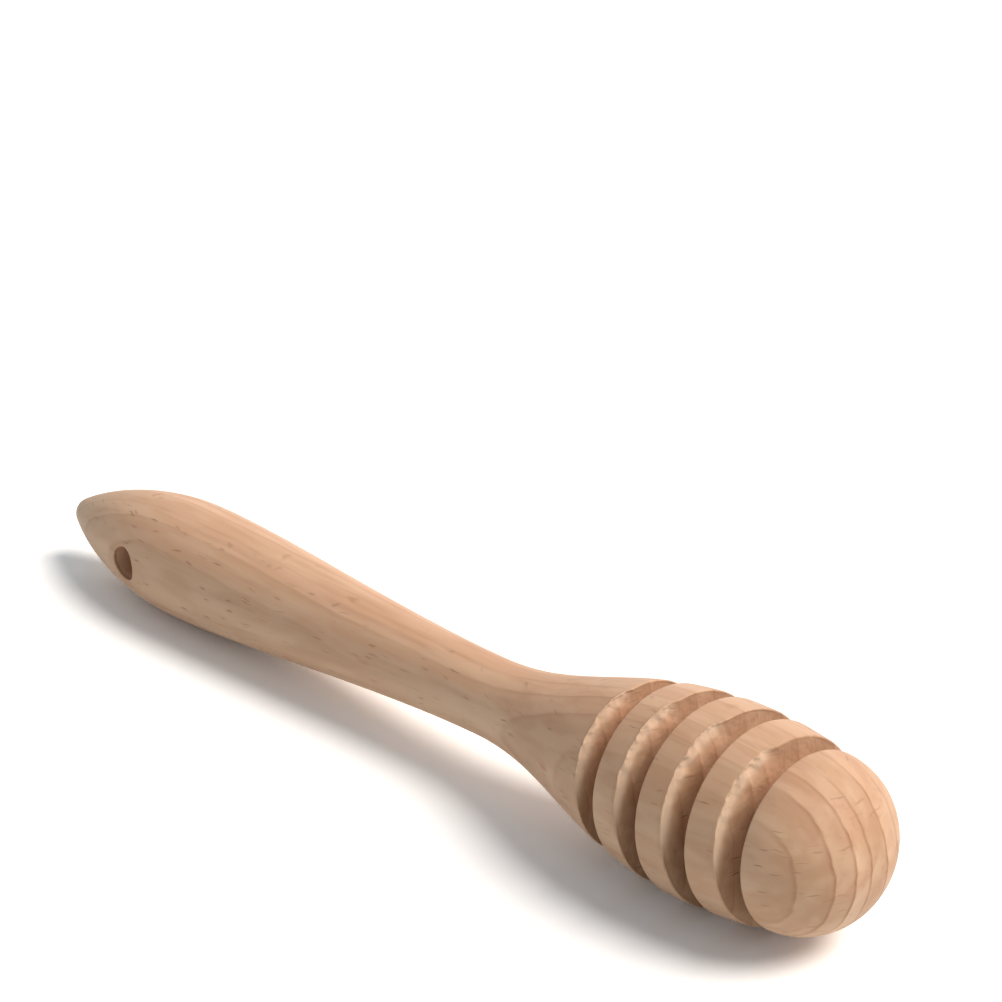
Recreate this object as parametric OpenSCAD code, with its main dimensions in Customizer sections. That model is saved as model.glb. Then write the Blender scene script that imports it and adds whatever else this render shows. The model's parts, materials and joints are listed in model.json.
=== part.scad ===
// Honey dipper turned from one beech blank, lying at rest on its widest rib and its tail.
// The outline is drawn along the lathe axis, from the tip of the nose at 0 to the end of
// the tail. The blank is named in lengths that meet face to face at the groove walls.

/* [Blank] */
// Length from the tip of the nose to the end of the tail
length = 160; // [145:1:190]
// Softening of the sharp edges left by the parting tool
arris = 0.3; // [0.1:0.05:0.5]

/* [Nose] */
// Length of the domed nose, up to the first groove
nose_len = 11.2; // [8:0.1:14]
// Diameter at the back of the nose
nose_d = 24.5; // [20:0.1:26]

/* [Ribs and grooves] */
// Diameter of the head's outline just behind the nose
brow_d = 25.1; // [22:0.1:27]
// Largest diameter of the head
head_d = 27.2; // [25:0.1:32]
// Distance of the largest diameter from the tip of the nose
head_at = 25; // [23:0.1:28]
// Width of each rib
rib_w = 5.2; // [4:0.1:6]
// Width of each groove
groove_w = 3.5; // [2.5:0.1:4.2]
// Diameter of the core at the bottom of the grooves
core_d = 15.6; // [10:0.1:18]

/* [Handle] */
// Smallest diameter of the neck
neck_d = 11.1; // [9:0.1:14]
// Distance of the smallest diameter from the tip of the nose
neck_at = 70; // [64:0.5:78]
// Largest diameter of the grip
grip_d = 17.4; // [15:0.1:22]
// Distance of the largest diameter of the grip from the end of the tail
grip_from_end = 27; // [24:0.5:36]
// Radius of the rounded end of the tail
tail_r = 2.4; // [1.6:0.1:3.2]
// Slope of the tail where it meets its rounded end, in degrees
tail_slope = 29; // [24:1:36]

/* [Hanging hole] */
// Diameter of the drilled hole
hole_d = 5; // [3:0.1:6]
// Distance of the hole's centre from the end of the tail
hole_from_end = 20; // [17:0.5:26]

/* [Hidden] */
beech = "#DDB592";
beech_end_grain = "#B98E69";

// How far each curve runs on level past its end, as a share of its span:
// larger shares make a fuller shape there.
head_fullness = 0.455;
neck_fullness_front = 0.375;
neck_fullness_rear = 0.35;
grip_fullness_front = 0.26;
grip_fullness_rear = 0.24;
tail_fullness = 0.4;
brow_fullness = 0.4;

round_steps = 96;
curve_steps = 24;
nose_steps = 18;
tail_steps = 6;

grip_at = length - grip_from_end;
hole_at = length - hole_from_end;

// Distance of the front of groove i from the tip of the nose, counted from 0
function groove_front(i) = nose_len + i * (groove_w + rib_w);
function groove_back(i) = groove_front(i) + groove_w;
shoulder_at = groove_back(3);

// Point at share t of a curve from p0 to p3, drawn towards p1 and p2 on its way
function curve_point(p0, p1, p2, p3, t) =
    pow(1 - t, 3) * p0 + 3 * pow(1 - t, 2) * t * p1 + 3 * (1 - t) * t * t * p2 + pow(t, 3) * p3;

// Points of that curve after p0, so that curves can follow each other in one outline
function curve(p0, p1, p2, p3) =
    [for (i = [1 : curve_steps]) curve_point(p0, p1, p2, p3, i / curve_steps)];

// Curve from a level point to a level point, each fullness being a share of the span
function level_curve(p0, p3, fullness_0, fullness_3) =
    let (span = p3.x - p0.x)
    curve(p0, p0 + [fullness_0 * span, 0], p3 - [fullness_3 * span, 0], p3);

// Points of the outline, each a distance along the axis and a radius
brow = [nose_len, brow_d / 2];
crown = [head_at, head_d / 2];
neck = [neck_at, neck_d / 2];
grip = [grip_at, grip_d / 2];
tail_start = [length - tail_r + tail_r * sin(tail_slope), tail_r * cos(tail_slope)];

nose_outline = [
    for (i = [0 : nose_steps])
        let (turn = 90 * i / nose_steps)
        [nose_len * (1 - cos(turn)), nose_d / 2 * sin(turn)]
];

brow_run = brow_fullness * (crown.x - brow.x);
brow_curve = curve(
    brow,
    brow + brow_run * [1, (crown.y - brow.y) / (crown.x - brow.x)],
    crown - [brow_run, 0],
    crown
);

tail_run = tail_fullness * (tail_start.x - grip.x);
tail_curve = curve(
    grip,
    grip + [grip_fullness_rear * grip_from_end, 0],
    tail_start + tail_run * [-cos(tail_slope), sin(tail_slope)],
    tail_start
);

tail_end = [
    for (i = [1 : tail_steps])
        let (turn = (90 - tail_slope) * (1 - i / tail_steps))
        [length - tail_r + tail_r * cos(turn), tail_r * sin(turn)]
];

// The whole outline behind the nose, as if no groove were cut
body_outline = [
    brow,
    each brow_curve,
    each level_curve(crown, neck, head_fullness, neck_fullness_front),
    each level_curve(neck, grip, neck_fullness_rear, grip_fullness_front),
    each tail_curve,
    each tail_end
];

function radius_at(s) = lookup(s, body_outline);

// Stretch of the outline between two groove walls, with its sharp edges softened
function softened_start(from) = [[from, radius_at(from) - arris], [from + arris, radius_at(from + arris)]];
function softened_end(to) = [[to - arris, radius_at(to - arris)], [to, radius_at(to) - arris]];

function rib_outline(from, to) = [
    each softened_start(from),
    for (p = body_outline) if (p.x > from + 2 * arris && p.x < to - 2 * arris) p,
    each softened_end(to)
];

handle_outline = [
    each softened_start(shoulder_at),
    for (p = body_outline) if (p.x > shoulder_at + 2 * arris) p
];

softened_nose = [
    for (p = nose_outline) if (p.x < nose_len - arris) p,
    [nose_len - arris, nose_d / 2 * sqrt(1 - pow(arris / nose_len, 2))],
    [nose_len, nose_d / 2 - arris]
];

// The dipper lies on the rib that reaches lowest and on the grip. Its slope is that of
// the one line that touches both and lies outside every other point of the outline.
function steepest(t, heads) = max([for (h = heads) (h.y - t.y) / (t.x - h.x)]);

rib_points = [for (i = [0 : 2]) each rib_outline(groove_back(i), groove_front(i + 1))];
grip_points = [for (p = handle_outline) if (p.x > neck.x) p];
rest_slope = atan(min([for (t = grip_points) steepest(t, rib_points)]));
rest_points = [each softened_nose, each rib_points, each handle_outline];
rest_height = max([for (p = rest_points) p.x * sin(rest_slope) + p.y * cos(rest_slope)]);
rest_left = min([for (p = rest_points) p.x * cos(rest_slope) - p.y * sin(rest_slope)]);
rest_right = max([for (p = rest_points) p.x * cos(rest_slope) + p.y * sin(rest_slope)]);

// Carries a piece from the lathe axis to where it lies, the dipper's middle over the origin
module lying() {
    translate([-(rest_left + rest_right) / 2, 0, rest_height])
        rotate([0, rest_slope, 0])
            children();
}

// Solid turned about the axis between the first and last points of an outline
module turned(outline) {
    points = [[outline[0].x, 0], each outline, [outline[len(outline) - 1].x, 0]];
    rotate([0, 90, 0])
        rotate_extrude($fn = round_steps)
            polygon([for (p = points) if (p.x > 0 || p.y == 0) [p.y, p.x]]);
}

module groove_core(i) {
    color(beech_end_grain)
        lying()
            turned([[groove_front(i), core_d / 2], [groove_back(i), core_d / 2]]);
}

module rib(i) {
    color(beech)
        lying()
            turned(rib_outline(groove_back(i), groove_front(i + 1)));
}

module nose() {
    color(beech)
        lying()
            turned(softened_nose);
}

module groove_core_1() groove_core(0);
module groove_core_2() groove_core(1);
module groove_core_3() groove_core(2);
module groove_core_4() groove_core(3);
module rib_front() rib(0);
module rib_middle() rib(1);
module rib_rear() rib(2);

module hanging_hole() {
    translate([hole_at, 0, 0])
        rotate([90, 0, 0])
            cylinder(d = hole_d, h = 2 * grip_d, center = true, $fn = round_steps);
}

module handle() {
    color(beech)
        lying()
            difference() {
                turned(handle_outline);
                hanging_hole();
            }
}

nose();
groove_core_1();
rib_front();
groove_core_2();
rib_middle();
groove_core_3();
rib_rear();
groove_core_4();
handle();
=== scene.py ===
# %% [markdown]
# A honey dipper is turned from one blank of beech. This lesson dresses its plain solids:
# it measures the lathe axis in them, turns smooth pieces about that axis with the spin
# tool, roughs up the walls that the parting tool left, drills the hanging hole, and builds
# one beech that runs through every piece, as the real grain does.

# %% Load the solids
import json
import math

import bpy
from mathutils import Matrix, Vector


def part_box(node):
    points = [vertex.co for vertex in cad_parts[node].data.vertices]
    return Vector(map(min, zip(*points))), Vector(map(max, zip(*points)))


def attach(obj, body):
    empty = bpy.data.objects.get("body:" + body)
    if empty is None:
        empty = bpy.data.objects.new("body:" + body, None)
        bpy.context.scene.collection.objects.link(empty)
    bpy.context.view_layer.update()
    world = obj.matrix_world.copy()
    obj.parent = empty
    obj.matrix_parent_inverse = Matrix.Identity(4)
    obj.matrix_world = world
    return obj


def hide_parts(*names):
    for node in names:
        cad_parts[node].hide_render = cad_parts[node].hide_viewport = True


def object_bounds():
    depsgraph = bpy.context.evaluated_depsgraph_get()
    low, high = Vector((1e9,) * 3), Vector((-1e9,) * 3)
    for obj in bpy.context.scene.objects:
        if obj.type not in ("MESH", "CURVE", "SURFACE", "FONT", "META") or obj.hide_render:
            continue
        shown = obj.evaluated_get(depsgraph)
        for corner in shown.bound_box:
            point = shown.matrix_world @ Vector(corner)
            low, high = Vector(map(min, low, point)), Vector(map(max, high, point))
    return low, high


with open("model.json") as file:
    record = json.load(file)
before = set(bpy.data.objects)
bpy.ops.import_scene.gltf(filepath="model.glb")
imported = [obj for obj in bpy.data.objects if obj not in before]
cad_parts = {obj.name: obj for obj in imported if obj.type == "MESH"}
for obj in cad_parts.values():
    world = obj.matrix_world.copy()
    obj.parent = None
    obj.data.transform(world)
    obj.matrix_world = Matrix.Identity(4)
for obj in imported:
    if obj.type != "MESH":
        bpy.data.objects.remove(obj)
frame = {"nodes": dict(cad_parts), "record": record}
cad_low, cad_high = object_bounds()
MM = 0.001
print("solids:", sorted(frame["nodes"]))

# %% [markdown]
# The camera stands off the dipper's nose end and well above it, so the domed nose comes
# forward and the tail runs away to the upper left. It is placed first, because every
# choice of detail depends on how large a piece shows. A long lens keeps the taper of the
# dipper close to its real one.

# %% Place the camera
VIEW_AZIMUTH = 227.12
VIEW_ELEVATION = 26.04
LENS = 154.86
CAMERA_PLACE = Vector((-386.33, 347.56, 291.24)) * MM

bpy.ops.object.select_all(action="DESELECT")
bpy.ops.object.camera_add(location=CAMERA_PLACE)
camera = bpy.context.object
camera.name = "photo_view"
camera.rotation_euler = (math.radians(90 - VIEW_ELEVATION), 0, math.radians(VIEW_AZIMUTH))
camera.data.lens = LENS
camera.data.sensor_width = 36
camera.data.clip_start = 10 * MM
bpy.context.scene.camera = camera
print("camera", tuple(round(v, 4) for v in camera.location), "lens", LENS)

# %% [markdown]
# The dipper lies on its widest rib and its grip, so its own axis slopes down to the tail.
# The groove cores are plain cylinders on that axis: the middles of the first and the last
# give its direction. Distances along the axis are counted from the tip of the nose.

# %% Measure the lathe axis
def middle(node):
    low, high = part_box(node)
    return (low + high) / 2


AXIS_START = middle("groove_core_1")
AXIS = (middle("groove_core_4") - AXIS_START).normalized()
REST_SLOPE = math.atan2(-AXIS.z, AXIS.x)


def along(point):
    return (point - AXIS_START).dot(AXIS)


def off_axis(point):
    away = point - AXIS_START
    return (away - away.dot(AXIS) * AXIS).length


NOSE_REACH = min(along(v.co) for v in frame["nodes"]["nose"].data.vertices)
NOSE_TIP = AXIS_START + NOSE_REACH * AXIS
print("axis slopes", round(math.degrees(REST_SLOPE), 3), "degrees from", tuple(NOSE_TIP))

# %% [markdown]
# A turner checks a shape with a template of its outline. The corners of a solid's mesh lie
# on that outline, so they serve as the template here: each gives a distance along the axis
# and a radius. Corners near the drilled hole are passed over, and so are points in the
# middle of a straight step, because only the corners lie on the true curve.

# %% Read the outline of a solid
SAME_PLACE = 0.01 * MM
STRAIGHT = 0.0006 * MM
HOLE_SIDE = 0.5
DIGITS = 7


def outline_of(node):
    stations = set()
    for vertex in frame["nodes"][node].data.vertices:
        s, r = along(vertex.co) - NOSE_REACH, off_axis(vertex.co)
        beside_hole = node == "handle" and abs(vertex.co.y) > HOLE_SIDE * r
        if r > SAME_PLACE and not beside_hole:
            stations.add((round(s, DIGITS), round(r, DIGITS)))
    outline = []
    for s, r in sorted(stations):
        if not outline or math.hypot(s - outline[-1][0], r - outline[-1][1]) > SAME_PLACE:
            outline.append((s, r))
    return outline


def bulge(before, point, after):
    run_s, run_r = after[0] - before[0], after[1] - before[1]
    cross = run_s * (point[1] - before[1]) - run_r * (point[0] - before[0])
    return abs(cross) / math.hypot(run_s, run_r)


def corners_of(outline):
    inner = [p for a, p, b in zip(outline, outline[1:], outline[2:]) if bulge(a, p, b) > STRAIGHT]
    return [outline[0]] + inner + [outline[-1]]


for node in frame["nodes"]:
    outline = outline_of(node)
    print(node, len(outline), "points,", len(corners_of(outline)), "corners")

# %% [markdown]
# Straight steps would show as faint bands on polished wood. A smooth curve through the
# corners removes them: between two corners it is a cubic whose slope at each corner
# follows the corners on both sides of it.

# %% Draw a smooth curve through corners
LEAST_DISTANCE = 1e-9


def smooth_through(corners, step, before=None, after=None):
    points = [before or corners[0]] + corners + [after or corners[-1]]
    distance = [0.0]
    for a, b in zip(points, points[1:]):
        step_length = math.hypot(b[0] - a[0], b[1] - a[1])
        distance.append(distance[-1] + max(step_length, LEAST_DISTANCE))

    def slope(i, part):
        return (points[i + 1][part] - points[i - 1][part]) / (distance[i + 1] - distance[i - 1])

    smooth = [corners[0]]
    for i in range(1, len(corners)):
        span = distance[i + 1] - distance[i]
        count = max(1, round(span / step))
        for k in range(1, count + 1):
            t = k / count
            weights = (
                (1 + 2 * t) * (1 - t) ** 2,
                t * (1 - t) ** 2 * span,
                t * t * (3 - 2 * t),
                t * t * (t - 1) * span,
            )
            smooth.append(tuple(
                weights[0] * points[i][part]
                + weights[1] * slope(i, part)
                + weights[2] * points[i + 1][part]
                + weights[3] * slope(i + 1, part)
                for part in (0, 1)
            ))
    return smooth


# %% [markdown]
# The solids have a small flat chamfer where a groove wall meets the outside. On the real
# dipper sandpaper has rounded it, so a quarter round takes its place. A wall is drawn in
# short steps from the axis to its rim, which leaves enough points to roughen it later.

# %% Round an edge and draw a wall
ROUND_STEPS = 6
WALL_STEP = 0.2 * MM
CORE_RADIUS = max(r for s, r in outline_of("groove_core_1"))
INSIDE_CORE = 0.5 * CORE_RADIUS
WALL_START = 0.9 * CORE_RADIUS


def rounded_edge(wall_point, outer_point):
    corner_s, corner_r = wall_point[0], outer_point[1]
    reach_s = outer_point[0] - corner_s
    reach_r = wall_point[1] - corner_r
    arc = []
    for k in range(ROUND_STEPS + 1):
        turn = math.pi / 2 * k / ROUND_STEPS
        arc.append((
            corner_s + reach_s * (1 - math.cos(turn)),
            corner_r + reach_r * (1 - math.sin(turn)),
        ))
    return arc


def wall(s, rim_radius):
    height = rim_radius - WALL_START
    count = math.ceil(height / WALL_STEP)
    climb = [(s, WALL_START + height * k / count) for k in range(count)]
    return [(s, 0.0), (s, INSIDE_CORE)] + climb


print("walls start inside the cores, which have a radius of", round(CORE_RADIUS / MM, 3), "mm")

# %% [markdown]
# Turning is what the spin tool does: one outline goes round the lathe axis. The outline
# starts as a plane merged to a single vertex, which is then extruded from point to point.
# The finished mesh is slid and tipped to where the dipper lies, and that place is applied,
# so that the object itself stays at the origin.

# %% Turn an outline on the lathe
TURN_STEPS = 400
WELD = 0.0002 * MM


def turned(name, outline, steps=TURN_STEPS):
    bpy.ops.object.select_all(action="DESELECT")
    bpy.ops.mesh.primitive_plane_add(size=MM)
    piece = bpy.context.object
    piece.name = name
    piece.data.name = name
    bpy.ops.object.mode_set(mode="EDIT")
    bpy.ops.mesh.select_all(action="SELECT")
    bpy.ops.mesh.merge(type="CENTER")
    bpy.ops.transform.translate(value=(outline[0][0], 0, outline[0][1]))
    for (s, r), (next_s, next_r) in zip(outline, outline[1:]):
        step = {"value": (next_s - s, 0, next_r - r)}
        bpy.ops.mesh.extrude_vertices_move(TRANSFORM_OT_translate=step)
    bpy.ops.mesh.select_all(action="SELECT")
    bpy.ops.mesh.spin(steps=steps, angle=math.tau, center=(0, 0, 0), axis=(1, 0, 0))
    bpy.ops.mesh.select_all(action="SELECT")
    bpy.ops.mesh.remove_doubles(threshold=WELD)
    bpy.ops.mesh.normals_make_consistent(inside=False)
    bpy.ops.object.mode_set(mode="OBJECT")
    bpy.ops.object.shade_smooth()
    print(name, "turned with", len(piece.data.polygons), "faces")
    return piece


def lay_down(piece):
    bpy.ops.object.select_all(action="DESELECT")
    piece.select_set(True)
    bpy.context.view_layer.objects.active = piece
    piece.location = NOSE_TIP
    piece.rotation_euler = (0, REST_SLOPE, 0)
    bpy.ops.object.transform_apply(location=True, rotation=True, scale=True)


# %% [markdown]
# The parting tool cuts across the fibres, so the groove walls are torn and fuzzy, while
# the outside was sanded smooth. Both are modelled, not painted: a Displace modifier with a
# clouds texture moves the points, the walls by a tenth of a millimetre, the outside by
# a few hundredths. A vertex group says how much each point may move.

# %% Clouds, weights and a push
def clouds(name, size, depth):
    texture = bpy.data.textures.new(name, "CLOUDS")
    texture.noise_scale = size
    texture.noise_depth = depth
    texture.noise_type = "SOFT_NOISE"
    return texture


TORN_FIBRES = clouds("torn fibres", 0.45 * MM, 3)
TOOL_CHATTER = clouds("tool chatter", 2.4 * MM, 1)
BROKEN_BUNDLES = clouds("broken bundles", 1.7 * MM, 1)
SANDING = clouds("sanding", 9 * MM, 1)


def displace(piece, texture, strength, group, mid_level=0.5, direction="NORMAL"):
    bpy.ops.object.select_all(action="DESELECT")
    piece.select_set(True)
    bpy.context.view_layer.objects.active = piece
    modifier = piece.modifiers.new("push", "DISPLACE")
    modifier.texture = texture
    modifier.texture_coords = "LOCAL"
    modifier.direction = direction
    modifier.strength = strength
    modifier.mid_level = mid_level
    modifier.vertex_group = group
    bpy.ops.object.modifier_apply(modifier=modifier.name)


def weigh(piece, group_name, weight_of):
    group = piece.vertex_groups.new(name=group_name)
    weights = []
    for vertex in piece.data.vertices:
        place = vertex.co
        turn = math.degrees(math.atan2(place.z, place.y))
        weight = weight_of(place.x, math.hypot(place.y, place.z), turn)
        weights.append(weight)
        if weight > 0:
            group.add([vertex.index], weight, "REPLACE")
    return weights


print("clouds:", [texture.name for texture in bpy.data.textures])

# %% [markdown]
# On one side of the blank the tool lifted whole bundles of fibre and broke them out of the
# front rims. There a Displace modifier without a texture pushes the rim back along the
# axis, which leaves a slope, and clouds make the slope lumpy. A push along the normals
# would fold the sharp edge over itself. The same weights are kept as an attribute, which
# later lays a pale glaze on the broken rims: partly the paler loose fibres, partly painted
# light where the rims face the softbox. A turn is counted in degrees round the axis,
# from the +Y side, where the camera is, up to the top at 90.

# %% Break the front rims
TORN_SIDE = (-25, 30)
TORN_TOP = (84, 70)
LUMPY_FROM = (-10, 50)
TORN_WALL_REACH = 2.5 * MM
TORN_OUTSIDE_REACH = 1.7 * MM
TORN_DEPTH = 0.48 * MM
BUNDLE_DEPTH = 0.9 * MM
SPLINTER_DEPTH = 0.4 * MM


def rise(value, start, full):
    share = min(1.0, max(0.0, (value - start) / (full - start)))
    return share * share * (3 - 2 * share)


def torn_rim(wall_place, rim_radius):
    def weight_of(s, r, turn):
        if r < CORE_RADIUS:
            return 0.0
        down_wall = min(1.0, max(0.0, 1 - (rim_radius - r) / TORN_WALL_REACH))
        along_outside = min(1.0, max(0.0, 1 - (s - wall_place) / TORN_OUTSIDE_REACH))
        return rise(turn, *TORN_SIDE) * rise(turn, *TORN_TOP) * (down_wall * along_outside) ** 2

    return weight_of


def tear(piece, weight_of):
    def lumps(s, r, turn):
        return math.sqrt(weight_of(s, r, turn)) * rise(turn, *LUMPY_FROM)

    weights = weigh(piece, "slope", weight_of)
    # These weights also mask the pale glaze of the broken rims, which is partly painted light.
    broken_rim = piece.data.attributes.new("broken_rim", "FLOAT", "POINT")
    broken_rim.data.foreach_set("value", weights)
    weigh(piece, "lumps", lumps)
    displace(piece, None, TORN_DEPTH, "slope", mid_level=0, direction="X")
    displace(piece, BROKEN_BUNDLES, BUNDLE_DEPTH, "lumps", mid_level=0.2, direction="X")
    displace(piece, TORN_FIBRES, SPLINTER_DEPTH, "lumps", mid_level=0.3, direction="X")
    print(piece.name, "is torn at", sum(weight > 0 for weight in weights), "points")


# %% [markdown]
# Every turned piece with a wall is finished in the same order: its front rim is torn if it
# is to be, then the walls are roughened by torn fibres and by the chatter of the tool, and
# the outside is calmed to the slight waves that sanding leaves. The mid levels are high,
# so that wood is mostly taken away and the piece stays inside its solid.

# %% Roughen the walls and calm the outside
WALL_MARGIN = 0.3 * MM
FIBRE_DEPTH = 0.14 * MM
CHATTER_DEPTH = 0.1 * MM
SANDING_DEPTH = 0.05 * MM


def finish_surface(piece, walls, torn_wall=None):
    def on_wall(s, r):
        rims = [rim for place, rim in walls if abs(s - place) < WALL_MARGIN]
        return r > CORE_RADIUS and any(r < rim for rim in rims)

    def on_outside(s, r):
        return r > SAME_PLACE and not on_wall(s, r)

    weigh(piece, "walls", lambda s, r, turn: 1.0 if on_wall(s, r) else 0.0)
    weigh(piece, "outside", lambda s, r, turn: 1.0 if on_outside(s, r) else 0.0)
    if torn_wall:
        tear(piece, torn_rim(*torn_wall))
    displace(piece, TORN_FIBRES, FIBRE_DEPTH, "walls", mid_level=0.8)
    displace(piece, TOOL_CHATTER, CHATTER_DEPTH, "walls", mid_level=0.8)
    displace(piece, SANDING, SANDING_DEPTH, "outside", mid_level=1.0)
    lay_down(piece)


# %% [markdown]
# Each solid is now turned again, smooth and with rounded edges. The ribs are short slices
# of one crowned outline with a wall at both ends.

# %% Turn the ribs
SURFACE_STEP = 0.3 * MM
RIBS = ["rib_front", "rib_middle", "rib_rear"]
pieces = {}


def turn_rib(node):
    corners = corners_of(outline_of(node))
    front = rounded_edge(corners[0], corners[1])
    back = rounded_edge(corners[-1], corners[-2])[::-1]
    crown = smooth_through(corners[1:-1], SURFACE_STEP)
    front_wall = wall(*corners[0])
    back_wall = wall(*corners[-1])[::-1]
    piece = turned("turned_" + node, front_wall + front + crown[1:-1] + back + back_wall)
    finish_surface(piece, [corners[0], corners[-1]], torn_wall=corners[0])
    return piece


for node in RIBS:
    pieces[node] = turn_rib(node)

# %% [markdown]
# The nose has one wall and ends in a pole, where the curve has to arrive square to the
# axis, so the outline's mirror image gives it the direction.

# %% Turn the nose
def turn_nose():
    corners = [(0.0, 0.0)] + corners_of(outline_of("nose"))
    mirrored = (corners[1][0], -corners[1][1])
    dome = smooth_through(corners[:-1], SURFACE_STEP, before=mirrored)
    edge = rounded_edge(corners[-1], corners[-2])[::-1]
    piece = turned("turned_nose", dome[:-1] + edge + wall(*corners[-1])[::-1])
    finish_surface(piece, [corners[-1]])
    return piece


pieces["nose"] = turn_nose()

# %% [markdown]
# The groove cores show only a band a few millimetres wide. They are cut by the same
# parting tool, which leaves faint turned rings there.

# %% Turn the groove cores
CORES = ["groove_core_1", "groove_core_2", "groove_core_3", "groove_core_4"]
CORE_STEP = 0.14 * MM
RING_PITCH = 0.7 * MM
RING_DEPTH = 0.04 * MM
CORE_FIBRE_DEPTH = 0.08 * MM


def turn_core(node):
    (start, radius), (end, _) = outline_of(node)
    count = math.ceil((end - start) / CORE_STEP)
    surface = []
    for k in range(count + 1):
        s = start + (end - start) * k / count
        ring = RING_DEPTH * math.sin(math.pi * (s - start) / RING_PITCH) ** 2
        surface.append((s, radius - ring))

    def on_band(s, r):
        return r > INSIDE_CORE and start < s < end

    piece = turned("turned_" + node, [(start, 0.0)] + surface + [(end, 0.0)])
    weigh(piece, "walls", lambda s, r, turn: 1.0 if on_band(s, r) else 0.0)
    displace(piece, TORN_FIBRES, CORE_FIBRE_DEPTH, "walls")
    lay_down(piece)
    return piece


for node in CORES:
    pieces[node] = turn_core(node)

# %% [markdown]
# The hanging hole is drilled with a Boolean. Its cutter stands on the axis of the record's
# bore mount, so it matches the solid exactly. A drilled edge is never left sharp, and here
# the edge is a saddle, so the cutter flares out in a quarter round at each end and every
# point of it is slid up or down with the surface that it meets.

# %% Shape the cutter
RIM_ROUNDING = 0.3 * MM
RIM_STEPS = 6
hanging_hole = frame["record"]["mounts"][0]
HOLE_PLACE = Vector(hanging_hole["pos_m"])
HOLE_RADIUS = hanging_hole["dims"]["r_mm"] * MM
GRIP_RADIUS = hanging_hole["dims"]["length_mm"] / 2 * MM


def drill_outline():
    half = [(0.0, HOLE_RADIUS)]
    for k in range(RIM_STEPS + 1):
        turn = math.pi / 2 * k / RIM_STEPS
        half.append((
            GRIP_RADIUS - RIM_ROUNDING * (1 - math.sin(turn)),
            HOLE_RADIUS + RIM_ROUNDING * (1 - math.cos(turn)),
        ))
    half.append((2 * GRIP_RADIUS, HOLE_RADIUS + RIM_ROUNDING))
    half.append((2 * GRIP_RADIUS, 0.0))
    return [(-s, r) for s, r in half[:0:-1]] + half


def shape_to_surface(cutter, piece):
    for vertex in cutter.data.vertices:
        side = math.copysign(1, vertex.co.y)
        if abs(vertex.co.y) > 0.5 * GRIP_RADIUS:
            above = Vector((vertex.co.x, side * 3 * GRIP_RADIUS, vertex.co.z))
            place = piece.ray_cast(above, (0, -side, 0))[1]
            vertex.co.y += place.y - side * GRIP_RADIUS


print("hanging hole", round(2 * HOLE_RADIUS / MM, 2), "mm wide at", tuple(HOLE_PLACE))

# %% [markdown]
# A Boolean leaves slivers where two meshes cross, so after the cut the points round the
# hole that all but touch are merged, and the faces there become plain triangles.

# %% Drill and tidy the rim
DRILL_STEPS = 160
CUT_REACH = 1.5 * MM
CUT_WELD = 0.01 * MM
CUT_SLIVER = 0.002 * MM


def clear_slivers(piece):
    bpy.ops.object.mode_set(mode="EDIT")
    bpy.ops.mesh.select_all(action="DESELECT")
    bpy.ops.object.mode_set(mode="OBJECT")
    for vertex in piece.data.vertices:
        away = vertex.co - HOLE_PLACE
        vertex.select = math.hypot(away.x, away.z) < HOLE_RADIUS + CUT_REACH
    bpy.ops.object.mode_set(mode="EDIT")
    bpy.ops.mesh.remove_doubles(threshold=CUT_WELD)
    bpy.ops.mesh.dissolve_degenerate(threshold=CUT_SLIVER)
    bpy.ops.mesh.quads_convert_to_tris(quad_method="BEAUTY", ngon_method="BEAUTY")
    bpy.ops.object.mode_set(mode="OBJECT")


def drill(piece):
    cutter = turned("drill", drill_outline(), steps=DRILL_STEPS)
    cutter.location = HOLE_PLACE
    cutter.rotation_euler = (0, 0, math.pi / 2)
    bpy.ops.object.transform_apply(location=True, rotation=True, scale=True)
    shape_to_surface(cutter, piece)
    bpy.ops.object.select_all(action="DESELECT")
    bpy.context.view_layer.objects.active = piece
    piece.select_set(True)
    modifier = piece.modifiers.new("hanging hole", "BOOLEAN")
    modifier.operation = "DIFFERENCE"
    modifier.object = cutter
    modifier.solver = "EXACT"
    bpy.ops.object.modifier_apply(modifier=modifier.name)
    bpy.data.objects.remove(cutter)
    clear_slivers(piece)
    print("drilled, now", len(piece.data.polygons), "faces")


# %% [markdown]
# The handle runs from its shoulder through the neck and grip to the rounded tail. Its
# outline ends in a pole, as the nose's starts in one, and it is drilled once it is turned.

# %% Turn the handle
HANDLE_STEP = 0.62 * MM


def turn_handle():
    corners = corners_of(outline_of("handle"))
    handle_reach = max(along(v.co) for v in frame["nodes"]["handle"].data.vertices)
    tail_end = (handle_reach - NOSE_REACH, 0.0)
    edge = rounded_edge(corners[0], corners[1])
    curve_corners = corners[1:] + [tail_end]
    mirrored = (corners[-1][0], -corners[-1][1])
    body = smooth_through(curve_corners, HANDLE_STEP, after=mirrored)
    piece = turned("turned_handle", wall(*corners[0]) + edge + body[1:])
    finish_surface(piece, [corners[0]], torn_wall=corners[0])
    drill(piece)
    return piece


pieces["handle"] = turn_handle()

# %% [markdown]
# Beech is told by three things: growth rings that end in a thin darker line, broad rays
# that show as short dark flecks on one face and as patches on the other, and a fine
# straight fibre. All three are solid patterns in the wood, so they are built in the
# blank's own millimetres: X runs along the lathe axis, Y across the rings. Each helper
# here adds one node and gives back its result, and glazed lays a thin tint over a colour.

# %% Helpers for material nodes
def add(tree, kind, inputs=(), **settings):
    node = tree.nodes.new("ShaderNode" + kind)
    for name, value in settings.items():
        setattr(node, name, value)
    for socket, value in dict(inputs).items():
        if isinstance(value, bpy.types.NodeSocket):
            tree.links.new(value, node.inputs[socket])
        else:
            node.inputs[socket].default_value = value
    return node


def calculate(tree, operation, *values):
    return add(tree, "Math", enumerate(values), operation=operation).outputs[0]


def scaled(tree, vector, factors):
    return add(tree, "VectorMath", {0: vector, 1: factors}, operation="MULTIPLY").outputs[0]


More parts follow.
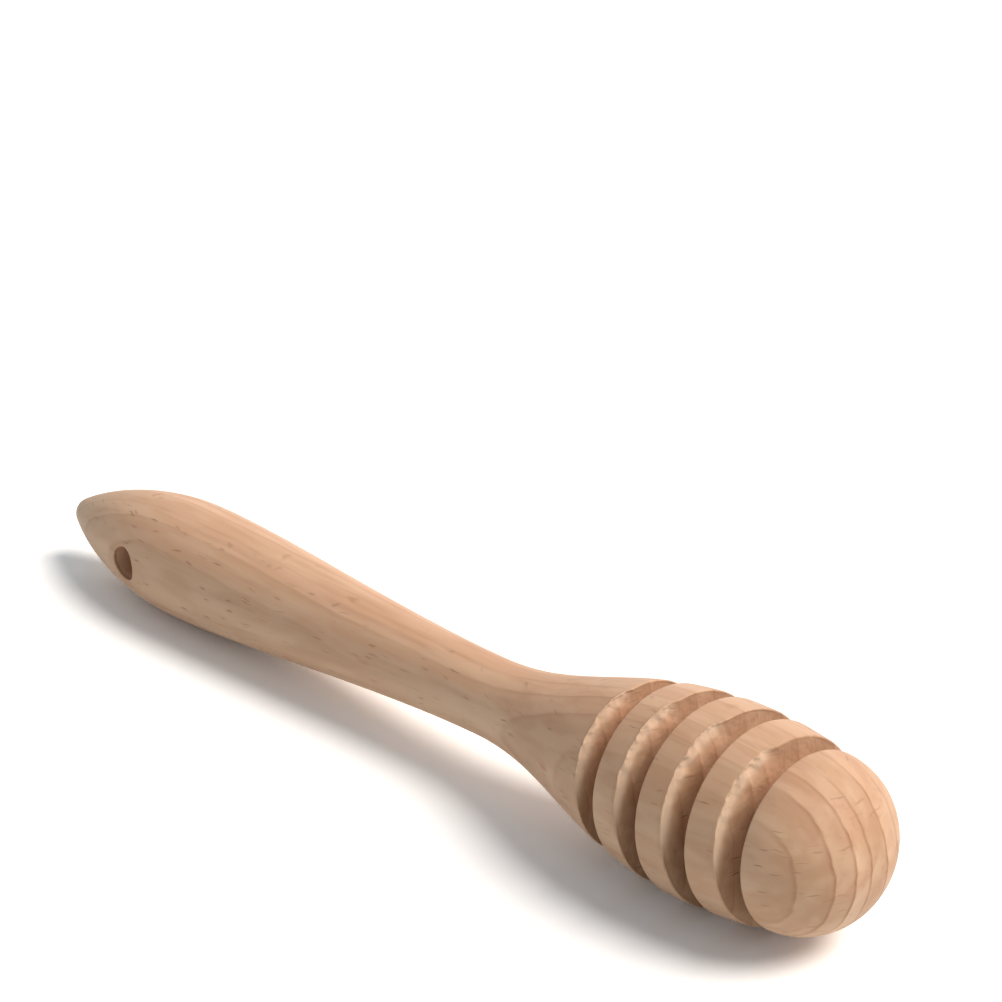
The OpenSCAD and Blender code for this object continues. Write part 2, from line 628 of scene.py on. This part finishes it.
def noise_share(tree, vector, scale, detail=2.0, roughness=0.5):
    settings = {"Vector": vector, "Scale": scale, "Detail": detail, "Roughness": roughness}
    return add(tree, "TexNoise", settings, noise_dimensions="3D").outputs["Fac"]


def fade(tree, value, full, gone):
    settings = {"Value": value, "From Min": full, "From Max": gone, "To Min": 1.0, "To Max": 0.0}
    return add(tree, "MapRange", settings, interpolation_type="SMOOTHSTEP").outputs["Result"]


def tone(hex_code):
    parts = [int(hex_code[i:i + 2], 16) / 255 for i in (1, 3, 5)]
    linear = [c / 12.92 if c <= 0.04045 else ((c + 0.055) / 1.055) ** 2.4 for c in parts]
    return (*linear, 1.0)


def mixed(tree, share, first, second):
    return add(tree, "Mix", {0: share, 6: first, 7: second}, data_type="RGBA").outputs[2]


def glazed(tree, colour, share, strength, tint):
    return mixed(tree, calculate(tree, "MULTIPLY", share, strength), colour, tint)


# %% [markdown]
# The place in the wood comes from Object coordinates, moved to the tip of the nose, turned
# onto the lathe axis and divided by a millimetre. A slow noise and a quick one bend that
# place a little, so that rings and fibres wander as they do in a living tree.

# %% The place in the wood
def centred_noise(tree, vector, scale):
    cloud = add(tree, "TexNoise", {"Vector": vector, "Scale": scale, "Detail": 2.0})
    around_grey = {0: cloud.outputs["Color"], 1: (0.5, 0.5, 0.5)}
    return add(tree, "VectorMath", around_grey, operation="SUBTRACT").outputs[0]


def place_in_wood(tree):
    place = add(tree, "TexCoord")
    settings = {
        "Vector": place.outputs["Object"],
        "Location": NOSE_TIP,
        "Rotation": (0, REST_SLOPE, 0),
        "Scale": (MM, MM, MM),
    }
    blank = add(tree, "Mapping", settings, vector_type="TEXTURE").outputs[0]
    slow = scaled(tree, centred_noise(tree, scaled(tree, blank, (0.25, 1, 1)), 0.11), (0, 1.6, 1.6))
    quick = scaled(tree, centred_noise(tree, scaled(tree, blank, (0.2, 1, 1)), 0.5), (0, 0.5, 0.5))
    bend = add(tree, "VectorMath", {0: slow, 1: quick}, operation="ADD").outputs[0]
    wood = add(tree, "VectorMath", {0: blank, 1: bend}, operation="ADD").outputs[0]
    return place, blank, wood


# %% [markdown]
# A growth ring starts pale and darkens slowly to a thin brown line. The blank was sawn so
# that its rings lie almost flat across Y, and they grow towards the side away from the
# camera. One colour ramp across the blank holds them all: its red channel darkens to each
# ring's last line and its green channel is the ring's own tone. The outer rings on the +Y
# side, away from the softbox, are given the darkest tones, which is painted shade on the
# shaded side of the head and handle as well as ring colour. The rings show plainly where
# the surface faces along the lathe axis, as on the nose, and hardly at all on the sides.

# %% Growth rings, with painted shade on the +Y side
RING_ENDS = (-12.6, -9.1, -5.3, -2.5, 0.0, 3.4, 6.6, 9.8, 13.0)
# The first, darkest tones fall on the outer rings of the +Y side: painted shade there as well as
# ring colour.
RING_TONES_WITH_PAINTED_SHADE = (1.0, 0.95, 0.8, 0.42, 0.12, 0.48, 0.28, 0.55, 0.24)
RING_SPREAD = 14.0


def growth_rings_and_shade(tree, wood):
    parts = add(tree, "SeparateXYZ", {0: wood}).outputs
    tilt = calculate(tree, "MULTIPLY_ADD", parts["Z"], 0.006, 0.03)
    depth = calculate(tree, "SUBTRACT", calculate(tree, "MULTIPLY", parts["Z"], tilt), parts["Y"])
    depth = calculate(tree, "MULTIPLY_ADD", parts["X"], 0.012, depth)
    settings = {"Value": depth, "From Min": -RING_SPREAD, "From Max": RING_SPREAD}
    share = add(tree, "MapRange", settings).outputs["Result"]
    ramp = add(tree, "ValToRGB", {0: share})
    stops = ramp.color_ramp.elements
    ramp.color_ramp.interpolation = "EASE"
    stops.remove(stops[1])
    start = -RING_SPREAD
    for end, tone_with_painted_shade in zip(RING_ENDS, RING_TONES_WITH_PAINTED_SHADE):
        for place, lateness in ((start, 0.0), (end - 0.7, 0.28), (end - 0.2, 1.0)):
            stop = stops.new((place + RING_SPREAD) / (2 * RING_SPREAD))
            stop.color = (lateness, tone_with_painted_shade, 0, 1)
        start = end
    parts = add(tree, "SeparateColor", {0: ramp.outputs["Color"]}).outputs
    return parts[0], parts[1]


# %% [markdown]
# A ray is a thin sheet of cells that stands in the wood like a blade: two or three
# millimetres long with the fibre, deep across the rings and a quarter of a millimetre
# thick. Stretched Voronoi cells give blobs of that shape, so a fleck, a patch or a radial
# line shows by itself, depending on how the surface cuts it. Each cell has random numbers
# of its own. One says how dark its ray is, so that most are faint and a few are plain, and
# another makes some rays redder than the rest.

# %% Rays
BROWN_RAY = tone("#8A6649")
RED_RAY = tone("#A8694C")


def rays(tree, wood, cell, full, gone, rarity):
    waves = scaled(tree, centred_noise(tree, wood, 0.3), (0, 0, 1.2))
    bent = add(tree, "VectorMath", {0: wood, 1: waves}, operation="ADD").outputs[0]
    stretched = scaled(tree, bent, tuple(1 / c for c in cell))
    settings = {"Vector": stretched, "Scale": 1.0, "Randomness": 1.0}
    cells = add(tree, "TexVoronoi", settings, feature="F1")
    shape = fade(tree, cells.outputs["Distance"], full, gone)
    chances = add(tree, "SeparateColor", {0: cells.outputs["Color"]}).outputs
    hue = mixed(tree, fade(tree, chances[1], 0.8, 0.5), BROWN_RAY, RED_RAY)
    darkness = calculate(tree, "POWER", chances[0], rarity)
    return calculate(tree, "MULTIPLY", shape, darkness), hue


# %% [markdown]
# The ground of the wood is two close tones in broad clouds, and the rings go over it. How
# plainly they show depends on the surface: where it faces along the lathe axis they stand
# out, where it faces up they show faintly, and on the sides it runs along them. Torn wood
# hides most of them.

# %% Rings on the ground colour
PALE_BEECH = tone("#DDB494")
WARM_BEECH = tone("#D4A686")
# The darker ring tone below also paints shade on the +Y side.
DARKER_RING_AND_SHADE = tone("#B28868")
LATE_WOOD = tone("#96613F")
TORN_RINGS = 0.35


def facing(tree, normal, direction, power):
    vectors = {0: normal, 1: direction}
    towards = add(tree, "VectorMath", vectors, operation="DOT_PRODUCT").outputs["Value"]
    return calculate(tree, "POWER", calculate(tree, "ABSOLUTE", towards), power)


def ground_and_rings(tree, blank, wood, end_share, top_share, torn):
    late_wood, tone_with_painted_shade = growth_rings_and_shade(tree, wood)
    plainness = calculate(tree, "MULTIPLY_ADD", end_share, 0.8, 0.08)
    plainness = calculate(tree, "MULTIPLY_ADD", top_share, 0.16, plainness)
    unevenness = noise_share(tree, scaled(tree, blank, (0.1, 0.35, 0.35)), 1.0, 2.0)
    plainness = calculate(tree, "MULTIPLY", plainness, fade(tree, unevenness, 0.6, -0.1))
    if torn:
        plainness = calculate(tree, "MULTIPLY", plainness, TORN_RINGS)
    ring_share = calculate(tree, "MULTIPLY", late_wood, plainness)
    # The ring's own tone carries the painted shade of the +Y side.
    tone_and_shade_plainness = calculate(tree, "MULTIPLY_ADD", end_share, 0.53, 0.47)
    tone_and_shade_share = calculate(tree, "MULTIPLY", tone_with_painted_shade, tone_and_shade_plainness)

    broad = noise_share(tree, scaled(tree, wood, (0.03, 0.25, 0.25)), 1.0, 3.0)
    colour = mixed(tree, fade(tree, broad, 0.35, 0.65), PALE_BEECH, WARM_BEECH)
    colour = mixed(tree, tone_and_shade_share, colour, DARKER_RING_AND_SHADE)
    return mixed(tree, ring_share, colour, LATE_WOOD)


# %% [markdown]
# The fibre is noise drawn out along the axis at three widths: streaks a millimetre wide,
# fibres of a third of one, and pores that are finer still and only catch the light.
# Pale patches lie between them, where a sheet of ray cells just touches the surface.

# %% Streaks and fibres
STREAK = tone("#B98C70")
DARK_FIBRE = tone("#AF8765")
PALE_PATCH = tone("#EBC7A8")


def with_streaks(tree, wood, fibre, colour):
    streak = noise_share(tree, scaled(tree, wood, (0.035, 0.9, 0.9)), 1.0, 3.0, 0.55)
    patch = noise_share(tree, scaled(tree, wood, (0.1, 0.42, 0.3)), 1.0, 1.0)
    colour = glazed(tree, colour, fade(tree, streak, 0.3, 0.52), 0.38, STREAK)
    colour = glazed(tree, colour, fade(tree, fibre, 0.3, 0.6), 0.1, DARK_FIBRE)
    return glazed(tree, colour, fade(tree, patch, 0.65, 0.42), 0.18, PALE_PATCH)


# %% [markdown]
# Three sizes of ray lie in the wood. Fine ones crowd in some places and thin out in others,
# bold ones stand alone and are weaker where the surface faces up, which keeps them from
# looking like chips in the light, and here and there is a large reddish one.

# %% Flecks
FINE_RAY = (7.6, 8.0, 0.58)
BOLD_RAY = (4.7, 7.0, 0.8)
LARGE_RAY = (26.0, 8.0, 6.0)
REDDISH = tone("#B5694F")


def with_flecks(tree, wood, top_share, colour):
    crowd = noise_share(tree, scaled(tree, wood, (0.1, 0.25, 0.25)), 1.0, 1.0)
    fine_strength = calculate(tree, "MULTIPLY_ADD", fade(tree, crowd, 0.6, 0.4), 0.4, 0.42)
    bold_strength = calculate(tree, "MULTIPLY_ADD", top_share, -0.5, 0.8)
    fine, fine_hue = rays(tree, wood, FINE_RAY, 0.05, 0.2, 0.7)
    bold, bold_hue = rays(tree, wood, BOLD_RAY, 0.05, 0.21, 0.6)
    large, _ = rays(tree, wood, LARGE_RAY, 0.03, 0.08, 0.6)
    fine = calculate(tree, "MULTIPLY", fine, fine_strength)
    colour = mixed(tree, fine, colour, fine_hue)
    colour = glazed(tree, colour, bold, bold_strength, bold_hue)
    return glazed(tree, colour, large, 0.5, REDDISH), fine


# %% [markdown]
# The same wood is used twice. On the outside it is sanded: an even satin with the pattern
# clear, a little grey near the tail, where it is handled and hung. In the grooves it is
# torn: matt and speckled by open fibre ends. Its broken rims are glazed pale, partly for
# loose fibres and partly as painted light where they face the softbox.

# %% Torn wood and the tail
OPEN_FIBRE = tone("#926C4C")
# The next pale tone is partly loose fibre and partly painted light on the broken rims that face the
# softbox.
PALE_FIBRE_AND_PAINTED_LIGHT = tone("#F0D2B6")
GREYED = tone("#AE9B80")
GREY_FULL, GREY_GONE = 160.5, 138.0


def with_loose_fibres_and_painted_light(tree, wood, end_share, colour):
    speckle = noise_share(tree, wood, 4.5, 3.0, 0.65)
    colour = glazed(tree, colour, fade(tree, speckle, 0.35, 0.62), 0.12, OPEN_FIBRE)
    broken_rim = add(tree, "Attribute", attribute_name="broken_rim").outputs["Fac"]
    # The pale glaze on the broken rims is partly painted light.
    paleness_with_painted_light = calculate(tree, "MULTIPLY", end_share, 0.64)
    return glazed(tree, colour, fade(tree, broken_rim, 0.6, 0.05), paleness_with_painted_light, PALE_FIBRE_AND_PAINTED_LIGHT)


def with_grey_tail(tree, blank, colour):
    distance = add(tree, "SeparateXYZ", {0: blank}).outputs["X"]
    return glazed(tree, colour, fade(tree, distance, GREY_FULL, GREY_GONE), 0.42, GREYED)


# %% [markdown]
# The layers come together in one function. Fibres and pores also give the surface its
# relief, and each fine ray sinks into it a little, so that it catches the light too.

# %% Build the beech
TORN_ROUGHNESS = 0.85
SPECULAR_LEVEL = 0.25
RELIEF = 0.05 * MM


def beech(name, torn):
    material = bpy.data.materials.new(name)
    material.use_nodes = True
    tree = material.node_tree
    shader = tree.nodes["Principled BSDF"].inputs
    place, blank, wood = place_in_wood(tree)
    end_share = facing(tree, place.outputs["Normal"], tuple(AXIS), 1.5)
    top_share = facing(tree, place.outputs["Normal"], (0, 0, 1), 2.0)
    fibre = noise_share(tree, scaled(tree, wood, (0.12, 3.2, 3.2)), 1.0, 4.0, 0.6)
    pores = noise_share(tree, scaled(tree, wood, (0.5, 9.0, 9.0)), 1.0, 2.0, 0.6)

    colour = ground_and_rings(tree, blank, wood, end_share, top_share, torn)
    colour = with_streaks(tree, wood, fibre, colour)
    colour, fine_rays = with_flecks(tree, wood, top_share, colour)
    if torn:
        colour = with_loose_fibres_and_painted_light(tree, wood, end_share, colour)
        shader["Roughness"].default_value = TORN_ROUGHNESS
    else:
        colour = with_grey_tail(tree, blank, colour)
        tree.links.new(calculate(tree, "MULTIPLY_ADD", fibre, 0.18, 0.46), shader["Roughness"])
    tree.links.new(colour, shader["Base Color"])
    shader["Specular IOR Level"].default_value = SPECULAR_LEVEL

    relief = calculate(tree, "MULTIPLY_ADD", fibre, 0.6, calculate(tree, "MULTIPLY", pores, 0.4))
    relief = calculate(tree, "SUBTRACT", relief, calculate(tree, "MULTIPLY", fine_rays, 0.6))
    settings = {"Height": relief, "Strength": 0.5 if torn else 0.2, "Distance": RELIEF}
    bump = add(tree, "Bump", settings)
    tree.links.new(bump.outputs["Normal"], shader["Normal"])
    print(name, "is made of", len(tree.nodes), "nodes")
    return material


SANDED_BEECH = beech("sanded beech", torn=False)
TORN_BEECH = beech("torn beech", torn=True)

# %% [markdown]
# Every piece takes the sanded wood, and the faces that the parting tool cut take the torn
# one. The walls look along the axis, the broken rims are found by their own weights, and
# the cores are torn all round.

# %% Give the pieces their wood
WALL_FACING = 0.8
DOME_END = 10 * MM
TAIL_START = 60 * MM
LEAST_FUZZ = 0.15


def is_wall(piece, polygon):
    s = along(polygon.center) - NOSE_REACH
    on_dome = piece.name == "turned_nose" and s < DOME_END
    on_tail = piece.name == "turned_handle" and s > TAIL_START
    return abs(polygon.normal.dot(AXIS)) > WALL_FACING and not on_dome and not on_tail


def is_broken(piece, polygon):
    broken_rim = piece.data.attributes.get("broken_rim")
    return broken_rim is not None and max(broken_rim.data[v].value for v in polygon.vertices) > LEAST_FUZZ


for node, piece in pieces.items():
    piece.data.materials.append(SANDED_BEECH)
    piece.data.materials.append(TORN_BEECH)
    torn_count = 0
    for polygon in piece.data.polygons:
        if node in CORES or is_wall(piece, polygon) or is_broken(piece, polygon):
            polygon.material_index = 1
            torn_count += 1
    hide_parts(node)
    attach(piece, "root")
    print(piece.name, "has", torn_count, "torn faces of", len(piece.data.polygons))

# %% [markdown]
# The floor is a plain pale sheet. The camera sees it a little brighter than it lights the
# wood, through Light Path, so it reads as white paper and still takes the soft shadow. The
# gloss of the wood sees it that way too, and so would anything clear.

# %% Lay the floor
FLOOR_SIZE = 6.0
PAPER_LIT = (0.88, 0.97, 1.0, 1)
PAPER_SEEN = (1.3, 1.3, 1.3, 1)


def looked_at(tree):
    path = add(tree, "LightPath").outputs
    direct = calculate(tree, "MAXIMUM", path["Is Camera Ray"], path["Is Glossy Ray"])
    return calculate(tree, "MAXIMUM", direct, path["Is Transmission Ray"])


def paper():
    material = bpy.data.materials.new("white paper")
    material.use_nodes = True
    tree = material.node_tree
    tree.nodes.remove(tree.nodes["Principled BSDF"])
    plain = add(tree, "BsdfDiffuse", {"Color": PAPER_LIT}).outputs[0]
    seen = add(tree, "BsdfDiffuse", {"Color": PAPER_SEEN}).outputs[0]
    shown = add(tree, "MixShader", {0: looked_at(tree), 1: plain, 2: seen})
    tree.links.new(shown.outputs[0], tree.nodes["Material Output"].inputs["Surface"])
    return material


bpy.ops.object.select_all(action="DESELECT")
bpy.ops.mesh.primitive_plane_add(size=FLOOR_SIZE, location=(0, 0, cad_low.z))
floor = bpy.context.object
floor.name = "floor"
floor.data.materials.append(paper())
print("floor at height", round(cad_low.z / MM, 3), "mm")

# %% [markdown]
# A studio for small goods has a softbox, a pale backdrop that glows behind the object, and
# a weak reflector across from the softbox. Each is a sun lamp with a wide angle here, so
# its light is the same everywhere and the paper stays even to its edges. A lamp's azimuth
# and height say where its light comes from, with 0 on the -Y side and 90 past the tail.

# %% Light the studio
def sun_lamp(name, azimuth, height, width, energy, colour):
    bpy.ops.object.select_all(action="DESELECT")
    bpy.ops.object.light_add(type="SUN", location=(0, 0, 1))
    lamp = bpy.context.object
    lamp.name = name
    lamp.rotation_euler = (math.radians(90 - height), 0, math.radians(azimuth))
    lamp.data.angle = math.radians(width)
    lamp.data.energy = energy
    lamp.data.color = colour
    print(name, "at azimuth", azimuth, "height", height)


sun_lamp("softbox", azimuth=303, height=53, width=38, energy=3.2, colour=(1.0, 0.93, 0.86))
sun_lamp("backdrop_glow", azimuth=20, height=15, width=60, energy=0.7, colour=(1.0, 0.92, 0.83))
sun_lamp("reflector", azimuth=150, height=20, width=70, energy=0.08, colour=(0.8, 0.91, 1.0))

# %% [markdown]
# The room is a weak cool light from all round. Where a low camera looks over the edge of
# the paper it would see that dim room, so Light Path shows the camera plain white there.

# %% Light the room
ROOM_COLOUR = (0.82, 0.92, 1.0, 1)
ROOM_STRENGTH = 0.31

world = bpy.data.worlds.new("studio")
bpy.context.scene.world = world
world.use_nodes = True
tree = world.node_tree
room = tree.nodes["Background"]
room.inputs["Color"].default_value = ROOM_COLOUR
room.inputs["Strength"].default_value = ROOM_STRENGTH
white = add(tree, "Background", {"Color": (1, 1, 1, 1), "Strength": 1.0})
shown = add(tree, "MixShader", {0: looked_at(tree), 1: room.outputs[0], 2: white.outputs[0]})
tree.links.new(shown.outputs[0], tree.nodes["World Output"].inputs["Surface"])
bpy.context.scene.view_settings.view_transform = "Standard"
print("room strength", ROOM_STRENGTH)
